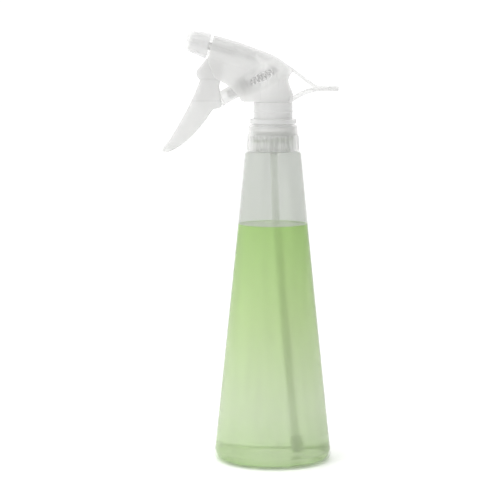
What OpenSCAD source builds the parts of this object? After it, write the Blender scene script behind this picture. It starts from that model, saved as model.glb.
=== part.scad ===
// Hand mister: a tapered bottle with a screw-on trigger pump head.
// Millimetres. The origin is the centre of the bottle's base, +Z is up,
// and the nozzle points towards -X.

/* [Bottle] */
// radius of the body just above the base corner
bottle_r = 37.4; // [30:0.1:45]
// radius of the body at the shoulder
shoulder_r = 17.9; // [15:0.1:24]
// height of the shoulder edge
shoulder_z = 195.6; // [150:0.1:230]
// wall thickness
bottle_wall = 0.8; // [0.6:0.1:2]
// height of the liquid surface
liquid_z = 152; // [20:1:190]

/* [Neck and collar] */
// outer radius of the neck finish
neck_r = 12.55; // [10:0.05:15]
// crest radius of the neck thread
neck_thread_r = 13.75; // [11:0.05:16]
// pitch of the neck thread
neck_pitch = 4.2333; // [2:0.0001:6]
// number of grip ribs round the collar
collar_ribs = 28; // [16:1:96]

/* [Pump] */
// angle of the pump cylinder above horizontal
pump_tilt = 28; // [15:1:45]
// radius of the pump bore
pump_bore_r = 6.2; // [4:0.1:8]
// radius of the piston rod
rod_r = 4.3; // [3:0.1:5]
// radius of the trigger's pivot pins
pin_r = 1.6; // [1:0.1:2.5]

/* [Nozzle] */
// angle of the spray barrel above horizontal
nozzle_tilt = 13.9; // [0:0.1:25]
// length of the nozzle
nozzle_len = 14.2; // [10:0.1:20]
// corner radius of the nozzle's rear end
nozzle_rear_r = 8.25; // [6:0.05:10]
// corner radius of the nozzle's front end
nozzle_front_r = 6.1; // [4:0.05:9]
// pitch of the nozzle thread
nozzle_pitch = 1.6; // [1:0.1:2.5]

/* [Shroud] */
// half width of the shroud's side walls
shroud_w = 9.6; // [8:0.1:13]
// thickness of the shroud's walls
shroud_t = 1.2; // [0.8:0.1:2]
// half width of the hanging loop behind the shroud
tail_w = 7.5; // [4:0.5:10]

/* [Output] */
// which sub-part to make

/* [Hidden] */
$fn = 96;
PIVOT = [-37.9, 251.1];
PUMP = [-31.8, 232];
FRONT = [-40.75, 264.5];
CREASE = 17.3;

natural = [0.88, 0.88, 0.87];
clear_plastic = [0.8, 0.82, 0.8];
steel = [0.6, 0.6, 0.62];
soft = [0.25, 0.25, 0.26];

// ---- frames and shared shapes ----

// local +Z along the pump cylinder, from the trigger towards the back
module on_pump() {
  translate([PUMP[0], 0, PUMP[1]]) rotate([0, 90 - pump_tilt, 0]) children();
}

// local +Z along the spray barrel, out of the nozzle
module on_barrel() {
  translate([FRONT[0], 0, FRONT[1]]) rotate([0, nozzle_tilt - 90, 0]) children();
}

// a side profile in X and Z, extruded to both sides of the middle plane
module side(points, half) {
  rotate([90, 0, 0]) translate([0, 0, -half]) linear_extrude(2 * half) polygon(points);
}

// a shaft across the part at a point in X and Z
module across(at, r, half) {
  translate([at[0], 0, at[1]]) rotate([90, 0, 0]) cylinder(h = 2 * half, r = r, center = true);
}

// a plain length of shaft between two heights
module shaft(z0, z1, r) {
  translate([0, 0, z0]) cylinder(h = z1 - z0, r = r);
}

// a ring between two heights
module ring(z0, z1, r_out, r_in) {
  difference() {
    shaft(z0, z1, r_out);
    shaft(z0 - 1, z1 + 1, r_in);
  }
}

// a right-hand thread ridge: tall is its base height, crest its tip height
module thread(z0, pitch, turns, r_root, r_tip, base, crest, steps = 24) {
  n = ceil(turns * steps);
  pts = [for (i = [0 : n]) let (a = 360 * i / steps, z = z0 + pitch * i / steps, c = cos(a), s = sin(a))
    each [[r_root * c, r_root * s, z - base / 2], [r_tip * c, r_tip * s, z - crest / 2],
      [r_tip * c, r_tip * s, z + crest / 2], [r_root * c, r_root * s, z + base / 2]]];
  flip = r_tip < r_root;
  walls = [for (i = [0 : n - 1], k = [0 : 3]) let (a = 4 * i + k, b = 4 * i + (k + 1) % 4)
    each [[a, b, b + 4], [a, b + 4, a + 4]]];
  ends = [[0, 2, 1], [0, 3, 2], [4 * n, 4 * n + 1, 4 * n + 2], [4 * n, 4 * n + 2, 4 * n + 3]];
  faces = concat(walls, ends);
  turned = [for (f = faces) [f[2], f[1], f[0]]];
  polyhedron(pts, flip ? turned : faces, convexity = 8);
}

// a coil of round wire with a number of turns between two heights
module coil(z0, z1, r, wire, turns, steps = 16, sides = 6) {
  n = turns * steps;
  pts = [for (i = [0 : n]) let (a = 360 * i / steps, z = z0 + wire + (z1 - z0 - 2 * wire) * i / n)
    for (k = [0 : sides - 1]) let (b = 360 * k / sides, q = r + wire * cos(b))
      [q * cos(a), q * sin(a), z + wire * sin(b)]];
  walls = [for (i = [0 : n - 1], k = [0 : sides - 1])
    let (a = sides * i + k, b = sides * i + (k + 1) % sides)
    each [[a, b + sides, b], [a, a + sides, b + sides]]];
  first = [for (k = [0 : sides - 1]) k];
  last = [for (k = [0 : sides - 1]) sides * (n + 1) - 1 - k];
  polyhedron(pts, concat(walls, [first], [last]), convexity = 8);
}

// ---- bottle ----

// the outline of the bottle and of the space in it, turned about the middle
BOTTLE_OUT = [[0, 1.8], [24, 1.2], [26.5, 0], [31.5, 0], [33.4, 0.3], [35.2, 1.3], [36.5, 2.8],
  [37.2, 4.5], [bottle_r, 6.2], [shoulder_r, shoulder_z], [17.4, 196.9], [16.4, 197.7], [15.4, 198]];
module bottle_space() {
  w = bottle_wall;
  rotate_extrude() polygon([[0, 3.2], [24, 2.6], [27, 1.4], [31, 1.4], [32.9, 1.8], [34.4, 2.7],
    [35.5, 4], [bottle_r - w, 6.2], [shoulder_r - w, shoulder_z - 0.4], [16, 196.3], [14.6, 197],
    [11.6, 198.4], [10.9, 199.5], [0, 199.5]]);
}

module bottle() {
  color(clear_plastic) difference() {
    union() {
      rotate_extrude() polygon(concat(BOTTLE_OUT, [[neck_r, 198], [neck_r, 210.4], [12.2, 211],
        [0, 211]]));
      thread(202.3, neck_pitch, 1.4, neck_r - 0.4, neck_thread_r, 2.2, 0.9);
    }
    bottle_space();
    shaft(199, 212, 10.9);
  }
}

// the arc that the dip tube and the filter lie on, as a pipe of a given radius
module tube_arc(r, top, drop) {
  translate([0, 0, top]) rotate([0, -1.4, 0]) translate([3000, 0, 0]) rotate([90, 0, 0])
    rotate([0, 0, 180]) rotate_extrude(angle = asin(drop / 3000), $fn = 3600)
      translate([3000, 0]) circle(r = r, $fn = 48);
}

module liquid_fill() {
  color([0.62, 0.8, 0.4, 0.5]) difference() {
    rotate_extrude() polygon([[0, 3.26], [24, 2.66], [27, 1.46], [31, 1.46], [32.87, 1.86],
      [34.35, 2.76], [35.4, 4.05], [bottle_r - bottle_wall - 0.08, 6.2],
      [bottle_r - bottle_wall - 0.08 - (liquid_z - 6.2) * (bottle_r - shoulder_r) / (shoulder_z - 6.2),
        liquid_z], [0, liquid_z]]);
    tube_arc(4.3, 212.8, 211.5);
  }
}

// ---- closure ----

// the collar's ribbed outline, seen along the neck
function rib_ring(n, r0, r1) = [for (i = [0 : n - 1], k = [0 : 3])
  let (a = 360 / n * (i + [0.1, 0.3, 0.7, 0.9][k]), r = k == 1 || k == 2 ? r1 : r0)
  [r * cos(a), r * sin(a)]];

module collar() {
  color(natural) difference() {
    union() {
      intersection() {
        translate([0, 0, 198.3]) linear_extrude(10.2) polygon(rib_ring(collar_ribs, 15.9, 16.6));
        translate([0, 0, 198]) cylinder(h = 10.5, r1 = 16.7, r2 = 16.1);
      }
      shaft(198.3, 208.5, 15.95);
      shaft(208.5, 213.6, 15.5);
      translate([0, 0, 213.6]) cylinder(h = 0.9, r1 = 15.5, r2 = 14.9);
      translate([0, 0, 214.5]) cylinder(h = 0.5, r1 = 14.9, r2 = 13.8);
      collar_bead();
    }
    shaft(197, 213.55, 14.15);
    shaft(213, 216, 12.45);
  }
  color(natural) intersection() {
    thread(204.3, neck_pitch, 1.4, 14.4, 12.95, 2.2, 0.9);
    shaft(199, 213, 14.3);
  }
}

// a bead round the collar's lower edge
module collar_bead() {
  shaft(198.3, 199.1, 16.45);
}

module neck_gasket() {
  color(soft) ring(211.02, 212.15, 13.1, 10.9);
}

// ---- pump body ----

// the smooth outer faces of the barrel and the cylinder, as one solid
module pump_solid() {
  on_barrel() {
    shaft(-34.5, 0.2, 3.3);
    shaft(-26, 0.2, 3.9);
    translate([0, 0, -34.5]) sphere(r = 3.3);
    shaft(-1.2, 0.2, 6.2);
    shaft(0, 10.9, 5.2);
    thread(2.2, nozzle_pitch, 4.5, 4.9, 5.9, 0.7, 0.3);
  }
  on_pump() {
    shaft(9.6, 11, 8.1);
    shaft(10.5, 27.3, 7.2);
    shaft(27, 40, 4.4);
  }
  side([[-39.5, 262], [-37, 250.5], [-33, 247.5], [-20.5, 243], [-12, 244], [-8, 251], [-8, 256],
    [-12, 257]], 1.2);
  across(PIVOT, 4, 5.6);
  side([[-40.9, 251.1], [-33.9, 251.1], [-35.5, 262.5], [-39.5, 264]], 2.6);
  side([[-12, 231], [9, 231], [8, 241], [3, 246], [-6, 239], [-14, 237]], 1.2);
  shaft(214.4, 246, 3.9);
}

module pump_body() {
  color(natural) difference() {
    union() {
      pump_solid();
      ring(212.2, 213.4, 13.2, 5.2);
      ring(213.3, 229.2, 12.1, 10.9);
      ring(229, 232, 11.1, 9.9);
      shaft(230.8, 232, 10.5);
      ring(222.9, 223.7, 12.4, 11.5);
      ring(215.6, 218.4, 14.5, 11.5);
      for (a = [0 : 60 : 300]) rotate([0, 0, a]) translate([3.5, -0.5, 214.4]) cube([8, 1, 17]);
    }
    on_barrel() {
      shaft(-34.8, -31.9, 1.3);
      translate([0, 0, -32]) cylinder(h = 1, r1 = 1.3, r2 = 2.4);
      shaft(-31.01, 12, 2.4);
    }
    on_pump() {
      shaft(5, 26, pump_bore_r);
      shaft(25.9, 38.4, 2.9);
    }
    translate([-6.8, 0, 246.2]) cylinder(h = 9.8, r = 1.1);
    shaft(213, 235, 3);
    shaft(234.9, 247.5, 1.5);
    across(PIVOT, pin_r + 0.06, 7);
  }
}

// ---- shroud ----

SHROUD_OUT = [[-37.1, 271], [-25.9, 267.8], [-20.9, 266.3], [-8.9, 261.9], [-1, 258.9], [4.3, 256],
  [8.4, 253.1], [12.3, 250.3], [12.1, 248.3], [10.7, 246.6], [9.8, 244.8], [9.4, 243.2],
  [9.6, 241.5], [10.1, 240.1], [11, 237.8], [11.9, 235.7], [12.5, 233.6], [12.6, 229.5],
  [-18.5, 229.5], [-20.9, 232.4], [-27.5, 238.9], [-30.1, 241.1], [-36.7, 244.2], [-41.3, 255.6]];
SHROUD_IN = [[-50, 272.6], [-37.3, 269.7], [-26.2, 266.5], [-21.3, 265], [-9.3, 260.6],
  [-1.5, 257.6], [3.7, 254.8], [7.6, 252], [8.6, 249.6], [8.9, 247.6], [8.4, 244.9], [8.2, 243.1],
  [8.4, 241.3], [9, 239.6], [9.9, 237.3], [10.7, 235.3], [11.4, 232.6], [11.4, 220], [-50, 220]];
TAIL = [[4.3, 256], [12.3, 250.3], [19, 245.4], [26, 240.5], [27.6, 239.5], [29.1, 238.9],
  [41, 239], [41.6, 238.4], [41.6, 237], [41, 236.4], [27.7, 236.2], [22, 234.9], [17, 232.6],
  [11.9, 229.5], [6, 229.5], [6, 232], [13.2, 232.8], [17, 235.1], [21.4, 237], [25.8, 238.1],
  [12.3, 248.3], [10.9, 247], [6, 249], [4.3, 252]];

// the shroud's cross-section along its length: crown, side walls and neck
module along_crease(below, z0, z1, r) {
  translate([-36, 0, 264.4]) rotate([0, 90 + CREASE, 0]) translate([below, 0, 0])
    shaft(z0, z1, r);
}

module shroud_form(grow) {
  along_crease(0, -20, 60, 7.2 + grow);
  along_crease(6.2, -20, 44, shroud_w + 0.15 + grow);
  side([[-60, 265.4], [-60, 220], [-8, 220], [4, 245.5]], shroud_w + grow);
  intersection() {
    shaft(220, 262, 12.5 + grow);
    union() {
      along_crease(8, 10, 70, 12.8 + grow);
      shaft(220, 243, 12.5 + grow);
    }
  }
}

module shroud() {
  color(natural) difference() {
    union() {
      intersection() {
        side(SHROUD_OUT, 14);
        shroud_form(0);
      }
      intersection() {
        side(TAIL, 14);
        union() {
          translate([0, -tail_w, 220]) cube([34.1, 2 * tail_w, 40]);
          translate([34.1, 0, 220]) cylinder(h = 40, r = tail_w);
        }
      }
    }
    intersection() {
      side(SHROUD_IN, 14);
      shroud_form(-shroud_t);
    }
  }
}

// ---- intake ----

module tube_adapter() {
  color(natural) difference() {
    union() {
      shaft(214, 221.9, 2.97);
      shaft(212.8, 214.2, 4.9);
      shaft(205.5, 213, 3.9);
    }
    shaft(213.2, 220.8, 1.4);
    translate([0, 0, 220.8]) cylinder(h = 1.2, r1 = 1.4, r2 = 2.5);
    translate([0, 0, 212.8]) rotate([0, -1.4, 0]) shaft(-9, 0.1, 2.45);
  }
}

module inlet_ball() {
  color([0.75, 0.85, 0.8]) translate([0, 0, 222.56]) sphere(r = 2.2);
}

module ball_cage() {
  color(natural) difference() {
    shaft(225.9, 230, 2.97);
    shaft(227.2, 231, 2.2);
    for (a = [0 : 60 : 120]) rotate([0, 0, a]) translate([-2.5, -0.45, 225]) cube([5, 0.9, 3]);
  }
}

module dip_tube() {
  color(natural) translate([0, 0, 212.8]) rotate([0, -1.4, 0]) translate([3000, 0, 0])
    rotate([90, 0, 0]) rotate([0, 0, 180]) rotate_extrude(angle = asin(202 / 3000), $fn = 3600)
      translate([3000, 0]) difference() {
        circle(r = 2.4, $fn = 48);
        circle(r = 1.6, $fn = 48);
      }
}

// local +Z up along the foot of the dip tube
module on_foot() {
  translate([11.74, 0, 11.03]) rotate([0, -5.26, 0]) children();
}

module dip_filter() {
  color(natural) on_foot() difference() {
    union() {
      shaft(-6.6, 3.4, 3.25);
      shaft(3.3, 4.2, 2.95);
    }
    shaft(-5.6, 0.2, 2.6);
    shaft(-6, 5, 2.5);
    for (a = [0 : 45 : 135]) rotate([0, 0, a]) translate([-4, -0.4, -5.4]) cube([8, 0.8, 4.6]);
  }
}

module filter_screen() {
  color(steel) on_foot() ring(-5.4, -0.9, 2.45, 2.2);
}

// ---- trigger and piston ----

TRIGGER_OUT = [[-42.4, 255.8], [-45.2, 252.2], [-47.6, 249.4], [-48.2, 247.8], [-48, 245.8],
  [-47.2, 244.6], [-45.8, 243.2], [-47.7, 238.2], [-50.5, 231.8], [-54.2, 224.5], [-57.8, 218.1],
  [-61.1, 212.2], [-64.4, 207], [-67.2, 203.2], [-69.5, 200.2], [-70, 198.8], [-68.9, 197.7],
  [-66.8, 197.6], [-64.4, 198.5], [-59.3, 201.4], [-53.6, 205.9], [-48, 211.6], [-42.8, 217.8],
  [-39.4, 222.8], [-37.7, 224.8], [-33.2, 226], [-32.4, 227.4], [-33.8, 235.8], [-34.3, 239.1],
  [-33.4, 242.6], [-31.6, 247], [-31.3, 251.1], [-32.3, 254.5], [-34.8, 257], [-38, 257.8],
  [-41, 256.9]];
TRIGGER_IN = [[-41.5, 254.6], [-43.8, 251.2], [-46, 248.6], [-46.4, 247.6], [-46.3, 246.4],
  [-45.8, 245.6], [-44, 243.6], [-46, 237.6], [-48.8, 231], [-52.5, 223.7], [-56.1, 217.3],
  [-59.6, 211.3], [-62.8, 206.2], [-65.4, 202.8], [-66.8, 200.6], [-66.3, 199.8], [-64.8, 200.3],
  [-60.2, 196], [-40, 205], [-25, 226], [-25, 262], [-41.5, 262]];

// the trigger's half width at a height: it swells below the pump and rounds off at the tip
function smooth(t) = let (u = min(max(t, 0), 1)) u * u * (3 - 2 * u);
function trigger_half(z) = z > 206 ? 7.9 + 1.7 * smooth((244 - z) / 28)
  : 9.6 * pow(max(1 - pow((206 - z) / 9, 2.6), 0), 0.45);
TRIGGER_STEPS = [260, 246, 241, 236, 231, 226, 221, 216, 210, 206, 203.5, 201.5, 200, 198.8, 197.9,
  197.3, 197];

// the trigger's width at each height, seen from the front, with its walls g thick
function trigger_width(g) = concat(
  [for (z = TRIGGER_STEPS) [g - max(trigger_half(z), g + 1), z]],
  [for (i = [len(TRIGGER_STEPS) - 1 : -1 : 0]) let (z = TRIGGER_STEPS[i])
    [max(trigger_half(z), g + 1) - g, z]]);

module front_view(points) {
  rotate([90, 0, 90]) translate([0, 0, -80]) linear_extrude(120) polygon(points);
}

module trigger() {
  color(natural) {
    difference() {
      intersection() {
        side(TRIGGER_OUT, 12);
        front_view(trigger_width(0));
      }
      intersection() {
        side(TRIGGER_IN, 12);
        front_view(trigger_width(1.5));
      }
    }
    for (s = [-1, 1]) translate([PIVOT[0], s * 4.2, PIVOT[1]]) rotate([90, 0, 0])
      cylinder(h = 5, r = pin_r, center = true);
    across([-35.42, 230.08], 1.6, 7.4);
    side([[-50.4, 229.4], [-49.8, 228.4], [-35.4, 229.4], [-35.4, 230.8]], 7.4);
    side([[-45, 243.4], [-44.6, 242.6], [-38, 243.4], [-38, 244.2]], 6.7);
  }
}

module piston() {
  color(natural) on_pump() difference() {
    union() {
      shaft(-2.2, -0.6, 4.7);
      shaft(-0.7, 11.1, rod_r);
      shaft(11, 17.6, 5.7);
    }
    shaft(3.5, 18, 3.1);
    ring(11.8, 13, 7, 4.7);
    ring(15.6, 16.8, 7, 4.7);
  }
}

// a lip seal: a ring with a rounded rim
module lip(z) {
  on_pump() rotate_extrude() polygon([[4.72, z + 0.05], [5.8, z + 0.05], [6.1, z + 0.3],
    [6.16, z + 0.6], [6.1, z + 0.9], [5.8, z + 1.15], [4.72, z + 1.15]]);
}

module piston_seal() {
  color(soft) lip(15.6);
}

module piston_wiper() {
  color(soft) lip(11.8);
}

module return_spring() {
  color(steel) on_pump() coil(3.6, 38.3, 1.95, 0.4, 13);
}

// ---- outlet ----

module outlet_ball() {
  color([0.75, 0.85, 0.8]) on_barrel() translate([0, 0, -30.57]) sphere(r = 1.9);
}

module outlet_spring() {
  color(steel) on_barrel() coil(-28.9, -18.2, 1.5, 0.22, 7);
}

module swirl_core() {
  color(natural) on_barrel() difference() {
    union() {
      shaft(-18, 10.6, 2.34);
      shaft(10.5, 12, 1.9);
    }
    for (a = [0, 90]) rotate([0, 0, a]) difference() {
      translate([-3, -0.4, -19]) cube([6, 0.8, 31.5]);
      shaft(-20, 13, 1.4);
    }
  }
}

module nozzle() {
  color(natural) on_barrel() {
    difference() {
      rotate([0, 0, 22.5]) cylinder(h = nozzle_len, r1 = nozzle_rear_r, r2 = nozzle_front_r, $fn = 8);
      shaft(-1, 11, 6.3 - 0.1);
      translate([0, 0, 10.99]) cylinder(h = 1.31, r = 4.8);
      shaft(12, 15, 0.4);
      translate([0, 0, nozzle_len - 0.8]) cylinder(h = 1, r1 = 0.8, r2 = 3.2);
    }
    intersection() {
      thread(3, nozzle_pitch, 4, 6.4, 5.5, 0.7, 0.3);
      shaft(0.4, 10.9, 6.3);
    }
  }
}

module nozzle_seal() {
  color(soft) on_barrel() ring(11, 12.2, 4.7, 2.6);
}

bottle();
liquid_fill();
collar();
neck_gasket();
pump_body();
shroud();
tube_adapter();
inlet_ball();
ball_cage();
dip_tube();
dip_filter();
filter_screen();
trigger();
piston();
piston_seal();
piston_wiper();
return_spring();
outlet_ball();
outlet_spring();
swirl_core();
nozzle();
nozzle_seal();
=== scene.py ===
"""Hand mister: the looks of every piece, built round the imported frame, in metres."""
import math

import bmesh
import bpy
from mathutils import Matrix, Vector


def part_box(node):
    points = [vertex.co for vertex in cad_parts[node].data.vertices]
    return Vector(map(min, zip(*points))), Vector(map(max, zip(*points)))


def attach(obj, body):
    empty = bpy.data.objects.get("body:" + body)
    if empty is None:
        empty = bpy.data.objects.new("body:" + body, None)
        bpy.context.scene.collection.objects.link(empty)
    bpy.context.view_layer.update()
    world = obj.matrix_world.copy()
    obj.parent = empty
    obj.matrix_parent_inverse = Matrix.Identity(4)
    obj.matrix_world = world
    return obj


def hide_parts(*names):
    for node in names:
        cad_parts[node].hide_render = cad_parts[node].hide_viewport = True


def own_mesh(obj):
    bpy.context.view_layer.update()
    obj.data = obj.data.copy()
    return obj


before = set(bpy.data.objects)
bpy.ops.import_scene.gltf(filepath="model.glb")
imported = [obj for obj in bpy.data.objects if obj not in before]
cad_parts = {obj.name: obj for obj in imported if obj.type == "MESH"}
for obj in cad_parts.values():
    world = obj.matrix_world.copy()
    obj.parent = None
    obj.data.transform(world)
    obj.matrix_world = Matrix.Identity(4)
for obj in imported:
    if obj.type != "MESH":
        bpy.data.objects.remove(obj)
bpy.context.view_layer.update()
MM = 0.001

PUMP_TILT = math.radians(28)
NOZZLE_TILT = math.radians(13.9)
PUMP_AT = Vector((-31.8, 0, 232)) * MM
BARREL_AT = Vector((-40.75, 0, 264.5)) * MM
PUMP_AXIS = Vector((math.cos(PUMP_TILT), 0, math.sin(PUMP_TILT)))
NOZZLE_AXIS = Vector((-math.cos(NOZZLE_TILT), 0, math.sin(NOZZLE_TILT)))

# driving dimensions, in mm and radians
CONE_RADIUS, CONE_BASE, CONE_SLOPE = 37.4, 6.2, 19.5 / 189.4
WALL = 0.4
NECK_RADIUS, NECK_BORE, NECK_TOP = 12.55, 10.9, 210.95
NECK_PITCH, NECK_TURNS, NECK_STEPS = 4.2333, 1.4, 64
COLLAR_RIBS, COLLAR_BORE = 28, 14.15
NOZZLE_LENGTH, NOZZLE_BORE = 14.2, 6.2
NOZZLE_PITCH, NOZZLE_TURNS, NOZZLE_STEPS = 1.6, 4, 48
LOOP_HALF, LOOP_CENTRE, LOOP_ROOT = 7.5, 34.1, 12.2
TUBE_RADIUS, TUBE_BORE, TUBE_TOP, TUBE_DROP = 2.4, 1.6, 212.8, 202
TUBE_LEAN, TUBE_BEND = math.radians(1.4), 3000.0


# ---------------------------------------------------------------- materials

def new_material(name):
    """An empty node material, its node tree and its output."""
    mat = bpy.data.materials.new(name)
    mat.use_nodes = True
    tree = mat.node_tree
    tree.nodes.clear()
    out = tree.nodes.new("ShaderNodeOutputMaterial")
    return mat, tree, out


def principled(tree, **values):
    """A Principled shader with these inputs set."""
    node = tree.nodes.new("ShaderNodeBsdfPrincipled")
    for key, value in values.items():
        node.inputs[key.replace("_", " ")].default_value = value
    return node


def noise(tree, scale, detail=3.0, rough=0.5, stretch=(1, 1, 1)):
    """Noise in the piece's own coordinates, stretched along its axes."""
    coord = tree.nodes.new("ShaderNodeTexCoord")
    mapping = tree.nodes.new("ShaderNodeMapping")
    mapping.inputs["Scale"].default_value = stretch
    tex = tree.nodes.new("ShaderNodeTexNoise")
    tex.inputs["Scale"].default_value = scale
    tex.inputs["Detail"].default_value = detail
    tex.inputs["Roughness"].default_value = rough
    tree.links.new(coord.outputs["Object"], mapping.inputs["Vector"])
    tree.links.new(mapping.outputs["Vector"], tex.inputs["Vector"])
    return tex


def ramp(tree, source, stops):
    """A colour ramp on a source, with stops of (place, colour)."""
    node = tree.nodes.new("ShaderNodeValToRGB")
    elements = node.color_ramp.elements
    while len(elements) < len(stops):
        elements.new(0.5)
    for element, (place, colour) in zip(elements, stops):
        element.position = place
        element.color = (*colour, 1)
    tree.links.new(source, node.inputs["Fac"])
    return node


def grained(tree, shader, scale, detail, low, high, rough=0.6):
    """Gives a shader a fine grain between two tones, and returns the grain."""
    grain = noise(tree, scale, detail, rough)
    tint = ramp(tree, grain.outputs["Fac"], [(0.3, low), (0.7, high)])
    tree.links.new(tint.outputs["Color"], shader.inputs["Base Color"])
    return grain.outputs["Fac"]


def bump(tree, shader, source, strength, distance):
    """Raises a shader's surface by a source, up to a distance in metres."""
    node = tree.nodes.new("ShaderNodeBump")
    node.inputs["Strength"].default_value = strength
    node.inputs["Distance"].default_value = distance
    tree.links.new(source, node.inputs["Height"])
    tree.links.new(node.outputs["Normal"], shader.inputs["Normal"])


def axis_value(tree, axis, low, high, start=0.0, end=1.0):
    """From start to end as the object coordinate along an axis goes from low to high."""
    coord = tree.nodes.new("ShaderNodeTexCoord")
    split = tree.nodes.new("ShaderNodeSeparateXYZ")
    span = tree.nodes.new("ShaderNodeMapRange")
    span.inputs["From Min"].default_value = low
    span.inputs["From Max"].default_value = high
    span.inputs["To Min"].default_value = start
    span.inputs["To Max"].default_value = end
    tree.links.new(coord.outputs["Object"], split.inputs["Vector"])
    tree.links.new(split.outputs[axis], span.inputs["Value"])
    return span.outputs["Result"]


def spring_window(tree, inside, outside):
    """From inside to outside as a point leaves the stretch of the pump that holds the open coil."""
    middle, half_length, half_width, any_depth = 28 * MM, 14 * MM, 5 * MM, 1.0
    coord = tree.nodes.new("ShaderNodeTexCoord")
    mapping = tree.nodes.new("ShaderNodeMapping")
    mapping.vector_type = "TEXTURE"
    mapping.inputs["Location"].default_value = PUMP_AT + PUMP_AXIS * middle
    mapping.inputs["Rotation"].default_value = (0, -PUMP_TILT, 0)
    mapping.inputs["Scale"].default_value = (half_length, any_depth, half_width)
    length = tree.nodes.new("ShaderNodeVectorMath")
    length.operation = "LENGTH"
    span = tree.nodes.new("ShaderNodeMapRange")
    span.inputs["From Min"].default_value = 0.5
    span.inputs["From Max"].default_value = 1.6
    span.inputs["To Min"].default_value = inside
    span.inputs["To Max"].default_value = outside
    tree.links.new(coord.outputs["Object"], mapping.inputs["Vector"])
    tree.links.new(mapping.outputs["Vector"], length.inputs[0])
    tree.links.new(length.outputs["Value"], span.inputs["Value"])
    return span.outputs["Result"]


def crease_shade_lines(tree, colour, heights):
    """A colour with a faint darker line of painted shade at each height, standing in for the shade in
    a crease of the surface.
    """
    for height in heights:
        across = axis_value(tree, "Z", height - 0.001, height + 0.001)
        line = ramp(tree, across, [(0.0, (1, 1, 1)), (0.35, (0.86, 0.86, 0.86)),
                                   (0.6, (0.86, 0.86, 0.86)), (1.0, (1, 1, 1))])
        darker = tree.nodes.new("ShaderNodeMixRGB")
        darker.blend_type = "MULTIPLY"
        darker.inputs["Fac"].default_value = 1
        tree.links.new(colour, darker.inputs["Color1"])
        tree.links.new(line.outputs["Color"], darker.inputs["Color2"])
        colour = darker.outputs["Color"]
    return colour


def milky_plastic(name, tone, glow, clear, clear_below=None, window=None, crease_shade_heights=()):
    """Natural polypropylene: white, lit through its walls, and partly seen through.

    glow and clear are the shares of light scattered through and let straight through.
    clear_below is (height, clearness) where the piece is thicker below a height.
    window is the clearness where the wall lies close to the open coil.
    The last argument gives the heights of faint darker painted-shade lines, standing in for the shade
    in creases of the surface."""
    mat, tree, out = new_material(name)
    base = principled(tree, Roughness=0.32, IOR=1.49)
    cloud = noise(tree, 90, 4, 0.6)
    tint = ramp(tree, cloud.outputs["Fac"], [(0.3, [c * 0.97 for c in tone]), (0.7, tone)])
    colour = crease_shade_lines(tree, tint.outputs["Color"], crease_shade_heights)
    tree.links.new(colour, base.inputs["Base Color"])
    fine = noise(tree, 1400, 2, 0.5)
    bump(tree, base, fine.outputs["Fac"], 0.08, 0.00004)
    glow_shader = tree.nodes.new("ShaderNodeBsdfTranslucent")
    glow_shader.inputs["Color"].default_value = (*tone, 1)
    body = tree.nodes.new("ShaderNodeMixShader")
    body.inputs["Fac"].default_value = glow
    through = tree.nodes.new("ShaderNodeBsdfTransparent")
    through.inputs["Color"].default_value = (0.995, 0.995, 0.993, 1)
    both = tree.nodes.new("ShaderNodeMixShader")
    if clear_below:
        height, lower = clear_below
        change = axis_value(tree, "Z", height - 0.002, height + 0.002, lower, clear)
        tree.links.new(change, both.inputs["Fac"])
    elif window:
        tree.links.new(spring_window(tree, window, clear), both.inputs["Fac"])
    else:
        both.inputs["Fac"].default_value = clear
    tree.links.new(base.outputs["BSDF"], body.inputs[1])
    tree.links.new(glow_shader.outputs["BSDF"], body.inputs[2])
    tree.links.new(body.outputs["Shader"], both.inputs[1])
    tree.links.new(through.outputs["BSDF"], both.inputs[2])
    tree.links.new(both.outputs["Shader"], out.inputs["Surface"])
    return mat


def bottle_plastic(name, cover, tone):
    """Clear bottle wall with faint upright streaks, where cover is the share of light it stops."""
    mat, tree, out = new_material(name)
    shader = principled(tree, Roughness=0.06, IOR=1.45, Alpha=cover)
    streak = noise(tree, 60, 5, 0.6, (2.2, 2.2, 0.03))
    tint = ramp(tree, streak.outputs["Fac"], [(0.35, [c * 0.76 for c in tone]), (0.65, tone)])
    tree.links.new(tint.outputs["Color"], shader.inputs["Base Color"])
    tree.links.new(shader.outputs["BSDF"], out.inputs["Surface"])
    return mat


def green_liquid(top):
    """Green liquid with painted light and shade in its colour: darker painted-shade green below its
    surface, paler painted light towards the base, and a darker painted-shade rim at the very bottom.
    """
    mat, tree, out = new_material("green_liquid")
    shader = principled(tree, Roughness=0.0, IOR=1.333, Transmission_Weight=0.62,
                        Specular_IOR_Level=0.1)
    height = axis_value(tree, "Z", 0.0, top)
    # painted light and shade by height: a darker rim at the bottom, pale painted light low down,
    # darker painted shade towards the surface
    tint = ramp(tree, height, [(0.0, (0.66, 0.88, 0.48)), (0.04, (0.90, 0.98, 0.78)),
                               (0.22, (0.97, 1.0, 0.88)), (0.6, (0.76, 0.88, 0.55)),
                               (1.0, (0.56, 0.78, 0.32))])
    tree.links.new(tint.outputs["Color"], shader.inputs["Base Color"])
    tree.links.new(shader.outputs["BSDF"], out.inputs["Surface"])
    return mat


def wire_steel():
    """Drawn spring steel, dull grey."""
    mat, tree, out = new_material("wire_steel")
    shader = principled(tree, Metallic=1.0, Roughness=0.3)
    grained(tree, shader, 700, 3, (0.24, 0.24, 0.245), (0.34, 0.34, 0.345))
    tree.links.new(shader.outputs["BSDF"], out.inputs["Surface"])
    return mat


def soft_seal():
    """Soft pale polyethylene of the seals and the gasket."""
    mat, tree, out = new_material("soft_seal")
    shader = principled(tree, Roughness=0.55)
    grain = grained(tree, shader, 500, 3, (0.70, 0.70, 0.68), (0.8, 0.8, 0.78))
    bump(tree, shader, grain, 0.1, 0.00005)
    tree.links.new(shader.outputs["BSDF"], out.inputs["Surface"])
    return mat


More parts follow.
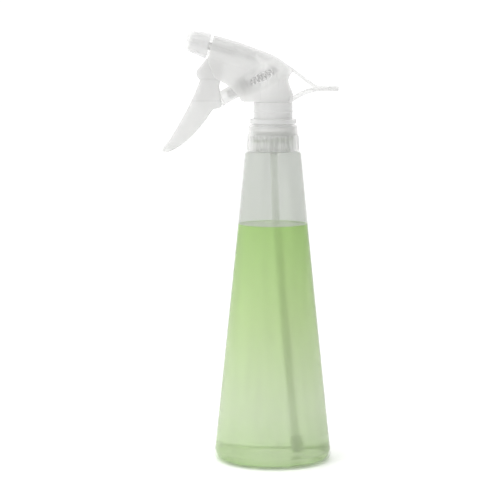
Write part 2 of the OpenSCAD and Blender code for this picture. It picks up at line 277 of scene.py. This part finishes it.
def ball_glass():
    """Greenish glass of the valve balls."""
    mat, tree, out = new_material("ball_glass")
    shader = principled(tree, Roughness=0.02, IOR=1.5, Transmission_Weight=0.9)
    grained(tree, shader, 300, 2, (0.80, 0.87, 0.84), (0.86, 0.92, 0.9), 0.5)
    tree.links.new(shader.outputs["BSDF"], out.inputs["Surface"])
    return mat


def white_stage():
    """White sweep of the studio, lit up a little so that it meets the sky without a line."""
    mat, tree, out = new_material("white_stage")
    shader = principled(tree, Roughness=0.9, Emission_Strength=0.2)
    shader.inputs["Emission Color"].default_value = (1, 1, 1, 1)
    grained(tree, shader, 3, 2, (0.96, 0.96, 0.96), (0.97, 0.97, 0.97), 0.5)
    tree.links.new(shader.outputs["BSDF"], out.inputs["Surface"])
    return mat


# ---------------------------------------------------------------- mesh tools

BLEND_ROUNDS = 60


def finish_mesh(bm, name, sharp=math.radians(38)):
    """A new object from a bmesh: smooth, with its edges past the sharp angle kept hard."""
    bmesh.ops.recalc_face_normals(bm, faces=bm.faces)
    for face in bm.faces:
        face.smooth = True
    for edge in bm.edges:
        edge.smooth = not (edge.is_manifold and edge.calc_face_angle(0) > sharp)
    mesh = bpy.data.meshes.new(name)
    bm.to_mesh(mesh)
    bm.free()
    obj = bpy.data.objects.new(name, mesh)
    bpy.context.scene.collection.objects.link(obj)
    return obj


def rounded(points, radii, steps=5):
    """A closed outline in mm with each corner rounded to its radius."""
    out = []
    count = len(points)
    for i, (point, radius) in enumerate(zip(points, radii)):
        here = Vector(point)
        if radius <= 0:
            out.append(here)
            continue
        to_last = Vector(points[i - 1]) - here
        to_next = Vector(points[(i + 1) % count]) - here
        half = to_last.angle(to_next) / 2
        cut = min(radius / math.tan(half), 0.48 * to_last.length, 0.48 * to_next.length)
        start = here + to_last.normalized() * cut
        end = here + to_next.normalized() * cut
        for k in range(steps + 1):
            t = k / steps
            out.append((1 - t) ** 2 * start + 2 * t * (1 - t) * here + t * t * end)
    return out


def join(bm, here, after):
    """Faces between two rings of the same number of points."""
    for k in range(len(here)):
        m = (k + 1) % len(here)
        bm.faces.new((here[k], here[m], after[m], after[k]))


def join_around(bm, rings):
    """Faces between each ring and the next, and from the last to the first."""
    for here, after in zip(rings, rings[1:] + rings[:1]):
        join(bm, here, after)


def helix(radius, start, pitch, turns, steps, local=Matrix.Identity(4)):
    """A helix about local Z, in mm."""
    turn = [2 * math.pi * i / steps for i in range(int(turns * steps) + 1)]
    return [local @ (Vector((radius * math.cos(a), radius * math.sin(a),
                             start + pitch * a / (2 * math.pi))) * MM) for a in turn]


def add_lathe(bm, outline, sides):
    """A closed outline of (radius, height) in mm, turned about Z."""
    rings = []
    for radius, z in outline:
        if radius < 1e-6:
            rings.append([bm.verts.new(Vector((0, 0, z * MM)))])
            continue
        turns = [2 * math.pi * k / sides for k in range(sides)]
        rings.append([bm.verts.new(Vector((radius * math.cos(a) * MM, radius * math.sin(a) * MM,
                                           z * MM))) for a in turns])
    for here, after in zip(rings, rings[1:] + rings[:1]):
        if len(here) == len(after):
            if len(here) > 1:
                join(bm, here, after)
            continue
        for k in range(sides):
            m = (k + 1) % sides
            if len(here) == 1:
                bm.faces.new((here[0], after[m], after[k]))
            else:
                bm.faces.new((here[k], here[m], after[0]))


def add_rings(bm, outline, sides, radius_at, local=Matrix.Identity(4)):
    """A closed skin about local Z through rows of (height, radius, relief), in mm.

    radius_at gives the radius at a step round the ring from the row's radius and relief."""
    rings = []
    for z, radius, relief in outline:
        ring = []
        for k in range(sides):
            a = 2 * math.pi * k / sides
            r = radius_at(k, radius, relief)
            ring.append(bm.verts.new(local @ (Vector((r * math.cos(a), r * math.sin(a), z)) * MM)))
        rings.append(ring)
    join_around(bm, rings)


def add_tube(bm, path, radius, sides, ends=True):
    """Adds a round tube along a path in metres, without twist, and returns its rings."""
    rings = []
    side = None
    for i, point in enumerate(path):
        ahead = (path[min(i + 1, len(path) - 1)] - path[max(i - 1, 0)]).normalized()
        if side is None:
            side = ahead.orthogonal().normalized()
        side = (side - ahead * side.dot(ahead)).normalized()
        up = ahead.cross(side)
        rings.append([bm.verts.new(point + (side * math.cos(a) + up * math.sin(a)) * radius)
                      for a in (2 * math.pi * k / sides for k in range(sides))])
    for here, after in zip(rings, rings[1:]):
        join(bm, here, after)
    if ends:
        bm.faces.new(rings[0])
        bm.faces.new(rings[-1])
    return rings


def frame_of(origin, axis):
    """A matrix with local Z along axis, local X in the part's middle plane."""
    z = axis.normalized()
    y = Vector((0, 1, 0))
    x = y.cross(z).normalized()
    return Matrix.Translation(origin) @ Matrix((x, y, z)).transposed().to_4x4()


def coil_path(local, z0, z1, radius, wire, turns, steps=28):
    """The centre line of a coil about local Z between two heights, in mm, its end turns closed up."""
    points = []
    total = int(turns * steps)
    low, high = z0 + wire, z1 - wire
    for i in range(total + 1):
        turn = i / steps
        ease = min(turn, turns - turn, 1.0)
        share = turn / turns
        closed = (turn / turns - 0.5) * 0.06 * (1 - ease)
        z = low + (high - low) * min(max(share + closed, 0), 1)
        a = 2 * math.pi * turn
        points.append(local @ Vector((radius * math.cos(a) * MM, radius * math.sin(a) * MM, z * MM)))
    return points


def molded(node, name, voxel, passes, keep=1.0, blends=()):
    """A CAD node's shape as moulded plastic: edges eased, and more so round each (centre, reach).

    voxel is the grid in mm, passes the rounds of smoothing, keep the share of faces kept."""
    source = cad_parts[node]
    obj = bpy.data.objects.new(name, source.data.copy())
    bpy.context.scene.collection.objects.link(obj)
    remesh = obj.modifiers.new("remesh", "REMESH")
    remesh.mode = "VOXEL"
    remesh.voxel_size = voxel * MM
    remesh.adaptivity = 0
    if passes:
        ease = obj.modifiers.new("ease", "SMOOTH")
        ease.factor = 0.5
        ease.iterations = passes
    if keep < 1:
        thin = obj.modifiers.new("thin", "DECIMATE")
        thin.ratio = keep
    bpy.context.view_layer.update()
    depsgraph = bpy.context.evaluated_depsgraph_get()
    mesh = bpy.data.meshes.new_from_object(obj.evaluated_get(depsgraph))
    obj.modifiers.clear()
    old = obj.data
    obj.data = mesh
    mesh.name = name
    bpy.data.meshes.remove(old)
    bm = bmesh.new()
    bm.from_mesh(mesh)
    for centre, reach in blends:
        near = [v for v in bm.verts if (v.co - Vector(centre) * MM).length < reach * MM]
        for _ in range(BLEND_ROUNDS):
            bmesh.ops.smooth_vert(bm, verts=near, factor=0.5, use_axis_x=True, use_axis_y=True,
                                  use_axis_z=True)
    for face in bm.faces:
        face.smooth = True
    bm.to_mesh(mesh)
    bm.free()
    return obj


def cut_behind(obj, x):
    """Takes away what lies behind a plane across the part, at x in mm, and closes the cut."""
    bm = bmesh.new()
    bm.from_mesh(obj.data)
    cut = bmesh.ops.bisect_plane(bm, geom=bm.verts[:] + bm.edges[:] + bm.faces[:],
                                 plane_co=(x * MM, 0, 0), plane_no=(1, 0, 0), clear_outer=True)
    edges = [g for g in cut["geom_cut"] if isinstance(g, bmesh.types.BMEdge)]
    bmesh.ops.holes_fill(bm, edges=edges, sides=0)
    bm.to_mesh(obj.data)
    bm.free()


def place(obj, body, slot, material, *nodes):
    """Gives a piece its material and its body, and hides the nodes that it stands for; slot is not
    used.
    """
    obj.data.materials.clear()
    obj.data.materials.append(material)
    if nodes:
        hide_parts(*nodes)
    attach(obj, body)


def dress(node, material):
    """A CAD node that keeps its shape and gets its material."""
    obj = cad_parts[node]
    obj.data.materials.clear()
    obj.data.materials.append(material)


# ---------------------------------------------------------------- materials in use

SHROUD_PP = milky_plastic("shroud_plastic", (0.90, 0.90, 0.895), 0.5, 0.48, window=0.74)
LOOP_PP = milky_plastic("loop_plastic", (0.91, 0.91, 0.905), 0.4, 0.25)
# painted shade: the trigger's copy of the natural plastic is toned darker (0.84) than the cover's
# (0.90), and carries two painted crease-shade lines
TRIGGER_PP = milky_plastic("trigger_plastic", (0.84, 0.84, 0.835), 0.5, 0.3, crease_shade_heights=(0.2302, 0.2437))
PUMP_PP = milky_plastic("pump_plastic", (0.93, 0.93, 0.927), 0.5, 0.88, clear_below=(0.2305, 0.4))
INNER_PP = milky_plastic("inner_plastic", (0.93, 0.93, 0.925), 0.5, 0.6)
COLLAR_PP = milky_plastic("collar_plastic", (0.92, 0.92, 0.915), 0.45, 0.66)
NOZZLE_PP = milky_plastic("nozzle_plastic", (0.97, 0.97, 0.97), 0.5, 0.5)
TUBE_PE = milky_plastic("tube_plastic", (0.84, 0.88, 0.80), 0.4, 0.8)
BOTTLE = bottle_plastic("bottle_plastic_wet", 0.2, (0.42, 0.62, 0.24))
BOTTLE_DRY = bottle_plastic("bottle_plastic_dry", 0.27, (0.53, 0.57, 0.50))
STEEL = wire_steel()
SEAL = soft_seal()
GLASS = ball_glass()


# ---------------------------------------------------------------- bottle and liquid

LIQUID_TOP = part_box("liquid_fill")[1][2]
BOTTLE_SIDES = 192


def cone_radius(foot, z):
    """The radius of the bottle's cone at a height, from its radius at the cone's foot."""
    return foot - (z - CONE_BASE) * CONE_SLOPE


def bottle_outline():
    """The bottle's wall as one closed outline of (radius, height), in mm."""
    level = LIQUID_TOP / MM
    inside = CONE_RADIUS - WALL
    outer = rounded([(0, 1.8), (24.5, 1.5), (26.5, 0), (31.8, 0), (37.9, 1.2),
                     (cone_radius(CONE_RADIUS, level), level), (17.75, 198.0),
                     (NECK_RADIUS, 198.2), (NECK_RADIUS, NECK_TOP), (NECK_BORE, NECK_TOP)],
                    [0, 1.5, 1.5, 1, 5.6, 0, 2.2, 0.5, 0.4, 0.4], 8)
    inner = rounded([(NECK_BORE, 199.6), (17.3, 197.2), (cone_radius(inside, level), level),
                     (inside, 6.5), (35.5, 1.5), (27, 1.4), (24, 2.6), (0, 3.2)],
                    [1.5, 1.8, 0, 1, 4.5, 1, 1, 0], 8)
    return outer + inner


def build_bottle():
    """The bottle, wet up to the liquid's surface and dry above it, with its neck thread."""
    bm = bmesh.new()
    add_lathe(bm, bottle_outline(), BOTTLE_SIDES)
    obj = finish_mesh(bm, "bottle_body", math.radians(60))
    place(obj, "bottle", "bottle_clear", BOTTLE, "bottle")
    obj.data.materials.append(BOTTLE_DRY)
    for face in obj.data.polygons:
        face.material_index = int(face.center.z > LIQUID_TOP)
    radius, start, half_width = 13.0, 202.3, 0.72
    thread = bmesh.new()
    path = helix(radius, start, NECK_PITCH, NECK_TURNS, NECK_STEPS)
    add_tube(thread, path, half_width * MM, 10)
    ridge = finish_mesh(thread, "bottle_thread")
    place(ridge, "bottle", "bottle_clear", BOTTLE)


def build_liquid():
    """The liquid, a little inside the wall, with a surface that climbs it at the edge."""
    top, clearance = LIQUID_TOP / MM, 0.05
    edge = cone_radius(CONE_RADIUS - WALL, top) - clearance
    outline = rounded([(0, 3.3), (24, 2.7), (27, 1.5), (35.4, 1.6), (36.95, 6.5), (edge, top),
                       (edge - 0.5, top - 0.35), (0, top - 0.4)], [0, 1, 1, 4.4, 1, 0, 0.6, 0], 8)
    bm = bmesh.new()
    add_lathe(bm, outline, BOTTLE_SIDES)
    obj = finish_mesh(bm, "liquid")
    place(obj, "bottle", "liquid_green", green_liquid(LIQUID_TOP), "liquid_fill")


# ---------------------------------------------------------------- closure

def build_collar():
    """The screw collar: a plain band over a ribbed one, hollow, with its top plate and thread."""
    outside = [(198.3, 16.1, 0.0), (198.45, 16.4, 0.0), (199.0, 16.45, 0.0), (199.2, 16.15, 0.4),
               (199.6, 16.0, 0.6), (204.5, 15.85, 0.5), (207.6, 15.75, 0.4), (208.3, 15.7, 0.1),
               (208.6, 15.55, 0), (208.9, 15.5, 0), (213.2, 15.42, 0), (213.9, 15.25, 0),
               (214.4, 14.95, 0), (214.8, 14.4, 0), (214.98, 13.6, 0)]
    inside = [(214.98, 12.6, 0), (214.85, 12.47, 0), (213.7, 12.47, 0), (213.56, 12.6, 0),
              (213.56, 13.9, 0), (213.3, COLLAR_BORE, 0), (198.6, COLLAR_BORE, 0), (198.35, 14.4, 0)]
    lobes = [0, 0, 0.08, 0.5, 0.9, 1, 1, 1, 1, 1, 1, 0.9, 0.5, 0.08, 0, 0]

    def ribbed(k, radius, rib):
        return radius + rib * lobes[k % len(lobes)]

    bm = bmesh.new()
    add_rings(bm, outside + inside, COLLAR_RIBS * len(lobes), ribbed)
    radius, start, half_width = 14.05, 204.3, 0.75
    path = helix(radius, start, NECK_PITCH, NECK_TURNS, NECK_STEPS)
    add_tube(bm, path, half_width * MM, 10)
    obj = finish_mesh(bm, "collar_ribbed", math.radians(50))
    place(obj, "collar", "collar_pp", COLLAR_PP, "collar")


# ---------------------------------------------------------------- pump head

def build_head():
    """The moulded pieces of the head: its cover, its casting, the trigger and the piston."""
    shoulders = [((x, y, z), 7) for x, z in ((6, 252), (-6, 254)) for y in (9, -9)]
    cover_back = 12.55
    shroud = molded("shroud", "shroud_cover", 0.25, 8, 0.35, shoulders)
    cut_behind(shroud, cover_back)
    place(shroud, "head", "natural_pp", SHROUD_PP, "shroud")
    build_loop()
    pump = molded("pump_body", "pump_casting", 0.3, 2, 0.5)
    place(pump, "head", "natural_pp", PUMP_PP, "pump_body")
    trigger = molded("trigger", "trigger_lever", 0.3, 8, 0.4)
    place(trigger, "trigger", "natural_pp", TRIGGER_PP, "trigger")
    piston = molded("piston", "piston_rod", 0.2, 2)
    place(piston, "piston", "natural_pp", INNER_PP, "piston")


def filled_outline(name, path, half_width):
    """A bmesh of a closed outline of (x, z) in mm, filled and as wide as twice half_width.

    Its own axes are x, z and the width."""
    curve = bpy.data.curves.new(name, "CURVE")
    curve.dimensions = "2D"
    curve.fill_mode = "BOTH"
    curve.extrude = half_width * MM
    spline = curve.splines.new("POLY")
    spline.points.add(len(path) - 1)
    for point, (x, z) in zip(spline.points, path):
        point.co = (x * MM, z * MM, 0, 1)
    spline.use_cyclic_u = True
    shape = bpy.data.objects.new(name, curve)
    bpy.context.scene.collection.objects.link(shape)
    bpy.context.view_layer.update()
    flat = bpy.data.meshes.new_from_object(shape)
    bpy.data.objects.remove(shape)
    bm = bmesh.new()
    bm.from_mesh(flat)
    bpy.data.meshes.remove(flat)
    bmesh.ops.remove_doubles(bm, verts=bm.verts, dist=0.00001)
    return bm


def build_loop():
    """The hanging loop: two straps that meet in a flat plate with a round end."""
    plate_top, plate_foot, tip_inset, side_inset = 239, 236.4, 0.4, 0.3
    turns = [math.radians(a) for a in (0, 20, 38, 54, 66, 76, 84, 90)]
    steps = [LOOP_CENTRE + (LOOP_HALF - tip_inset) * math.sin(a) for a in turns]
    tip = steps.pop()
    outer = [(LOOP_ROOT, 250.4), (19, 245.4), (26, 240.5), (27.6, 239.5), (29.1, 238.95)]
    outer += [(x, plate_top) for x in steps] + [(tip, 238.5), (tip, 236.9)]
    outer += [(x, plate_foot) for x in reversed(steps)]
    outer += [(27.7, 236.2), (22, 234.9), (17, 232.6), (LOOP_ROOT, 229.8), (LOOP_ROOT, 232.4)]
    inner = [(13.2, 232.9), (17, 235.1), (21.4, 237), (25.8, 238.1), (LOOP_ROOT, 248.4)]
    bm = filled_outline("hanging_loop", outer + inner, LOOP_HALF)
    for v in bm.verts:
        x, z, y = v.co
        past = min(max(x / MM - LOOP_CENTRE, 0), LOOP_HALF - side_inset)
        v.co = (x, y * math.sqrt(1 - (past / LOOP_HALF) ** 2), z)
    obj = finish_mesh(bm, "hanging_loop")
    place(obj, "head", "natural_pp", LOOP_PP)


def eight_sided(a, radius, corner=0.975):
    """The radius at an angle of an eight-sided outline with eased corners."""
    eighth = math.pi / 4
    flat = radius * math.cos(eighth / 2)
    return min(flat / math.cos((a + eighth / 2) % eighth - eighth / 2), radius * corner)


def build_nozzle():
    """The eight-sided nozzle, flared towards its back, with its thread, seat and orifice."""
    outside = [(0.0, 7.55, 0), (0.12, 7.95, 1), (0.5, 8.24, 1), (4.0, 7.65, 1), (9.0, 6.9, 1),
               (13.6, 6.2, 1), (14.0, 6.02, 1), (14.18, 5.75, 1), (NOZZLE_LENGTH, 5.3, 0)]
    orifice = [(NOZZLE_LENGTH, 3.4, 0), (14.05, 3.15, 0), (13.55, 1.2, 0), (13.4, 0.45, 0),
               (12.3, 0.42, 0)]
    inside = [(12.28, 0.7, 0), (12.28, 4.7, 0), (11.1, 4.8, 0), (11.0, 5.1, 0), (11.0, 6.05, 0),
              (10.8, NOZZLE_BORE, 0), (0.5, NOZZLE_BORE, 0), (0.1, 6.45, 0)]
    sides = 128

    def faceted(k, radius, flat):
        return eight_sided(2 * math.pi * k / sides + math.pi / 8, radius) if flat else radius

    barrel = frame_of(BARREL_AT, NOZZLE_AXIS)
    bm = bmesh.new()
    add_rings(bm, outside + orifice + inside, sides, faceted, barrel)
    radius, start, half_width = 6.15, 3, 0.3
    path = helix(radius, start, NOZZLE_PITCH, NOZZLE_TURNS, NOZZLE_STEPS, barrel)
    add_tube(bm, path, half_width * MM, 8)
    obj = finish_mesh(bm, "nozzle_cap", math.radians(30))
    place(obj, "nozzle", "natural_pp", NOZZLE_PP, "nozzle")


def coil(name, node, local, near_end, far_end, radius, wire, turns, sides):
    """A steel coil in the head between two heights of local Z, where wire is its wire's radius."""
    bm = bmesh.new()
    add_tube(bm, coil_path(local, near_end, far_end, radius, wire, turns), wire * MM, sides)
    obj = finish_mesh(bm, name)
    place(obj, "head", "spring_steel", STEEL, node)
    return obj


def build_springs():
    """The return coil and the outlet coil, each laid back from its far end over its length."""
    pump = frame_of(PUMP_AT, PUMP_AXIS)
    far_end, length, stroke = 38.3, 34.7, 8
    obj = coil("return_coil", "return_spring", pump, far_end - length, far_end, 1.95, 0.4, 13, 10)
    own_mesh(obj)
    barrel = frame_of(BARREL_AT, NOZZLE_AXIS)
    far_end, length, stroke = -18.2, 10.7, 0.8
    obj = coil("outlet_coil", "outlet_spring", barrel, far_end - length, far_end, 1.5, 0.22, 7, 8)
    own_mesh(obj)


def build_tube():
    """The dip tube on its long arc, open at both ends."""
    path = []
    steps, sides = 80, 40
    sweep = math.asin(TUBE_DROP / TUBE_BEND)
    for i in range(steps + 1):
        a = sweep * i / steps
        along, drop = TUBE_BEND * (1 - math.cos(a)), TUBE_BEND * math.sin(a)
        x = along * math.cos(TUBE_LEAN) + drop * math.sin(TUBE_LEAN)
        z = TUBE_TOP + along * math.sin(TUBE_LEAN) - drop * math.cos(TUBE_LEAN)
        path.append(Vector((x, 0, z)) * MM)
    bm = bmesh.new()
    outer = add_tube(bm, path, TUBE_RADIUS * MM, sides, False)
    inner = add_tube(bm, path, TUBE_BORE * MM, sides, False)
    join(bm, outer[0], inner[0])
    join(bm, outer[-1], inner[-1])
    obj = finish_mesh(bm, "dip_tube_pipe")
    place(obj, "head", "tube_pe", TUBE_PE, "dip_tube")


def dress_inner_nodes():
    """The small inner pieces, which keep their CAD shapes."""
    for node in ("tube_adapter", "ball_cage", "swirl_core", "dip_filter"):
        dress(node, INNER_PP)
    for node in ("neck_gasket", "piston_seal", "piston_wiper", "nozzle_seal"):
        dress(node, SEAL)
    for node in ("inlet_ball", "outlet_ball"):
        dress(node, GLASS)
    dress("filter_screen", STEEL)


# ---------------------------------------------------------------- stage

def build_stage():
    """A white floor under a sky that is brighter to the left than to the right."""
    bm = bmesh.new()
    bmesh.ops.create_grid(bm, x_segments=8, y_segments=8, size=6)
    floor = finish_mesh(bm, "floor")
    floor.location = (0, 0, -0.0002)
    floor.data.materials.append(white_stage())
    world = bpy.data.worlds.new("studio")
    bpy.context.scene.world = world
    world.use_nodes = True
    tree = world.node_tree
    coord = tree.nodes.new("ShaderNodeTexCoord")
    split = tree.nodes.new("ShaderNodeSeparateXYZ")
    tree.links.new(coord.outputs["Generated"], split.inputs["Vector"])
    span = tree.nodes.new("ShaderNodeMapRange")
    span.inputs["From Min"].default_value = -1
    tree.links.new(split.outputs["X"], span.inputs["Value"])
    sky = ramp(tree, span.outputs["Result"], [(0.0, (0.84, 0.84, 0.84)), (0.36, (0.82, 0.82, 0.82)),
                                              (0.44, (0.8, 0.8, 0.8)), (0.56, (0.8, 0.8, 0.8)),
                                              (0.66, (0.42, 0.42, 0.42)), (1.0, (0.3, 0.3, 0.3))])
    back = tree.nodes["Background"]
    tree.links.new(sky.outputs["Color"], back.inputs["Color"])
    back.inputs["Strength"].default_value = 1.33


def soft_light(name, at, aim, size, watts):
    """A rectangular lamp at a place, turned towards another."""
    data = bpy.data.lights.new(name, "AREA")
    data.shape = "RECTANGLE"
    data.size, data.size_y = size
    data.energy = watts
    obj = bpy.data.objects.new(name, data)
    obj.location = at
    obj.rotation_euler = (Vector(aim) - Vector(at)).to_track_quat("-Z", "Y").to_euler()
    bpy.context.scene.collection.objects.link(obj)


def build_camera():
    """A long lens in front of the mister, looking a little down."""
    pitch = math.radians(6.54)
    data = bpy.data.cameras.new("camera")
    data.lens = 136.4
    data.sensor_width = 36
    obj = bpy.data.objects.new("camera", data)
    obj.location = (-0.0146, -1.2, 0.2726)
    obj.rotation_euler = (math.pi / 2 - pitch, 0, 0)
    bpy.context.scene.collection.objects.link(obj)
    bpy.context.scene.camera = obj


build_camera()
build_stage()
soft_light("key", (-0.9, -0.9, 1.1), (0, 0, 0.15), (0.8, 0.8), 5)
soft_light("top", (0, 0.4, 1.8), (0, 0.1, 0), (1.5, 1.5), 6)
build_bottle()
build_liquid()
build_collar()
build_head()
build_nozzle()
build_springs()
build_tube()
dress_inner_nodes()
bpy.context.scene.view_settings.view_transform = "Standard"
